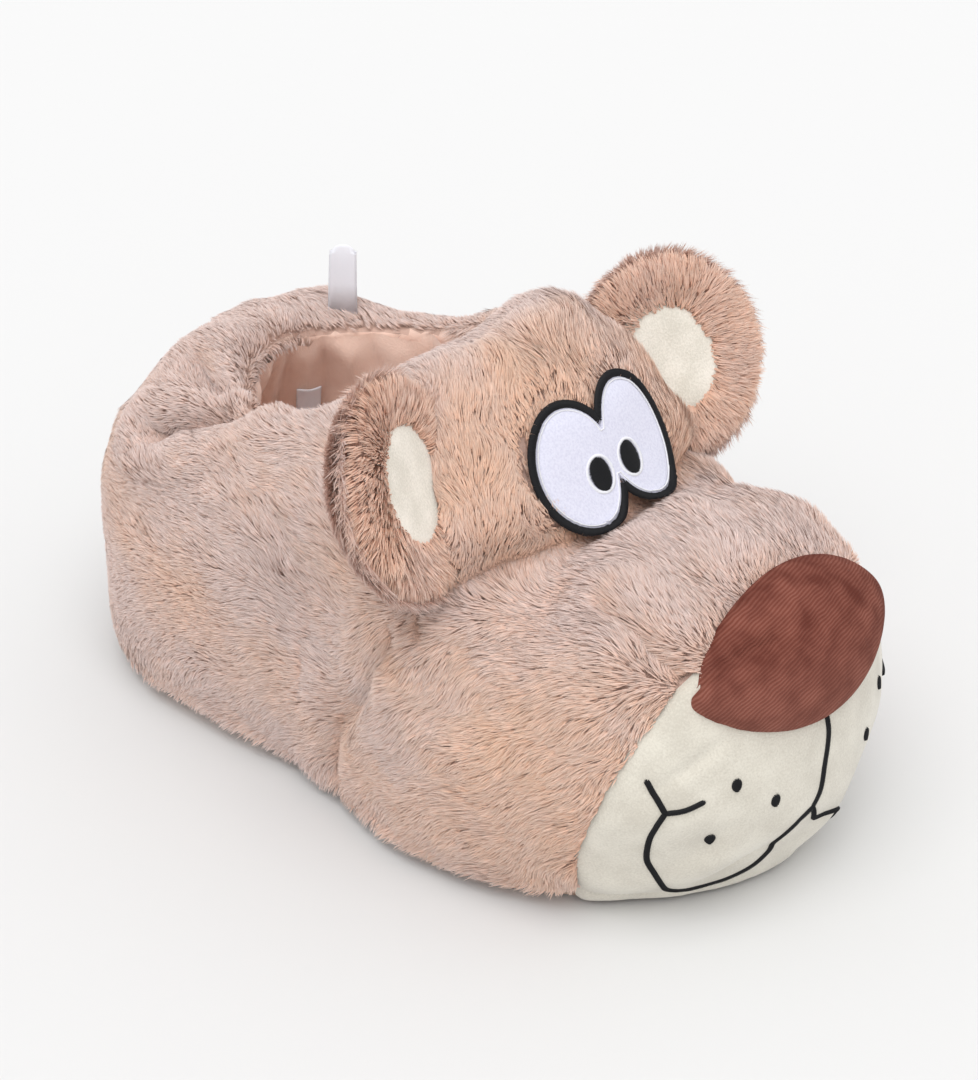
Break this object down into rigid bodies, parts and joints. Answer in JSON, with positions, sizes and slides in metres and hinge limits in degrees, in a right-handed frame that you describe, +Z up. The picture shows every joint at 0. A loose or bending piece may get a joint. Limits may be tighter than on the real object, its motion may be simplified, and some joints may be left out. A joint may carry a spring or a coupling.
{
  "type": "plush animal house slipper",
  "caption": "Stuffed plush house slipper with an animal head on the toe: round ears, joined felt eyes, padded nose, cream chin, padded collar and a flat cloth sole.",
  "frame": {"origin": "on the floor under the middle of the slipper, as it stands on its sole", "axes": "+X along the slipper towards the toe, +Y to the wearer's left, +Z up"},
  "size_m": [0.3067, 0.2071, 0.1753],
  "materials": {
    "plush": "long-pile plush, peach tan",
    "cream_velour": "short-pile velour, cream",
    "brown_velour": "twill-faced velour, red brown",
    "white_felt": "smooth felt, cool white",
    "black_thread": "satin-stitch embroidery, black",
    "fleece": "short fleece, peach",
    "sole_cloth": "woven sole cloth with small grip dots",
    "ribbon": "woven satin ribbon, white"
  },
  "bodies": {
    "root": {"outsole": "sole_cloth", "insole": "fleece", "upper": "plush", "chin_panel": "cream_velour", "nose": "brown_velour", "eye_patch": "white_felt", "pupil_left": "black_thread", "pupil_right": "black_thread", "ear_left": "plush", "ear_right": "plush", "ear_lining_left": "cream_velour", "ear_lining_right": "cream_velour", "back_label": "ribbon"}
  },
  "joints": []
}
